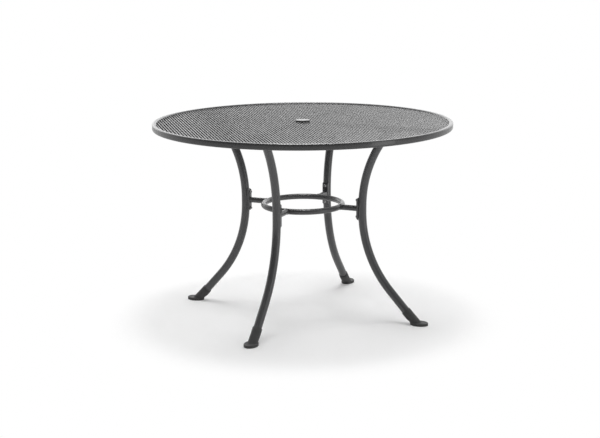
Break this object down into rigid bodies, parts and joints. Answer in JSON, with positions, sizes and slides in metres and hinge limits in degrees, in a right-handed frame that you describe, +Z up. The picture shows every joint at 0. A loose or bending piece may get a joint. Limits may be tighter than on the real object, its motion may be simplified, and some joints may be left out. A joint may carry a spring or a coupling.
{
  "type": "umbrella table",
  "caption": "Round patio table with a mesh top, a parasol hole with a lift-out lid, bowed splayed legs and a low stretcher ring.",
  "frame": {"origin": "on the floor, under the middle of the table", "axes": "+Z up; the four legs stand on the diagonals between the X and Y axes, leg 1 between +X and +Y and the others anticlockwise from it"},
  "size_m": [1.1, 1.1, 0.7318],
  "materials": {
    "frame_steel": "dark pewter powder coat, satin, fine",
    "mesh_steel": "dark pewter powder coat on expanded metal, satin",
    "grey_plastic": "dark grey moulded plastic, matt",
    "screw_zinc": "dark plated steel, satin"
  },
  "bodies": {
    "table": {"rim_tube": "frame_steel", "mesh_top": "mesh_steel", "pole_collar": "frame_steel", "parasol_bush": "grey_plastic", "stretcher_ring": "frame_steel", "brace_1": "frame_steel", "brace_2": "frame_steel", "brace_3": "frame_steel", "brace_4": "frame_steel", "leg_1": "frame_steel", "leg_2": "frame_steel", "leg_3": "frame_steel", "leg_4": "frame_steel", "head_plate_1": "frame_steel", "head_plate_2": "frame_steel", "head_plate_3": "frame_steel", "head_plate_4": "frame_steel", "foot_cap_1": "grey_plastic", "foot_cap_2": "grey_plastic", "foot_cap_3": "grey_plastic", "foot_cap_4": "grey_plastic", "spoke_1": "frame_steel", "spoke_2": "frame_steel", "spoke_3": "frame_steel", "spoke_4": "frame_steel", "leg_bracket_1": "frame_steel", "leg_bracket_2": "frame_steel", "leg_bracket_3": "frame_steel", "leg_bracket_4": "frame_steel", "head_bolt_1a": "screw_zinc", "head_bolt_1b": "screw_zinc", "head_bolt_2a": "screw_zinc", "head_bolt_2b": "screw_zinc", "head_bolt_3a": "screw_zinc", "head_bolt_3b": "screw_zinc", "head_bolt_4a": "screw_zinc", "head_bolt_4b": "screw_zinc", "bracket_screw_1a": "screw_zinc", "bracket_screw_1b": "screw_zinc", "bracket_screw_2a": "screw_zinc", "bracket_screw_2b": "screw_zinc", "bracket_screw_3a": "screw_zinc", "bracket_screw_3b": "screw_zinc", "bracket_screw_4a": "screw_zinc", "bracket_screw_4b": "screw_zinc"},
    "lid": {"parasol_lid": "grey_plastic"}
  },
  "joints": [
    {"name": "lid_lift", "type": "slide", "parent": "table", "child": "lid", "axis": [0, 0, 1], "range_m": [0, 0.06]}
  ]
}
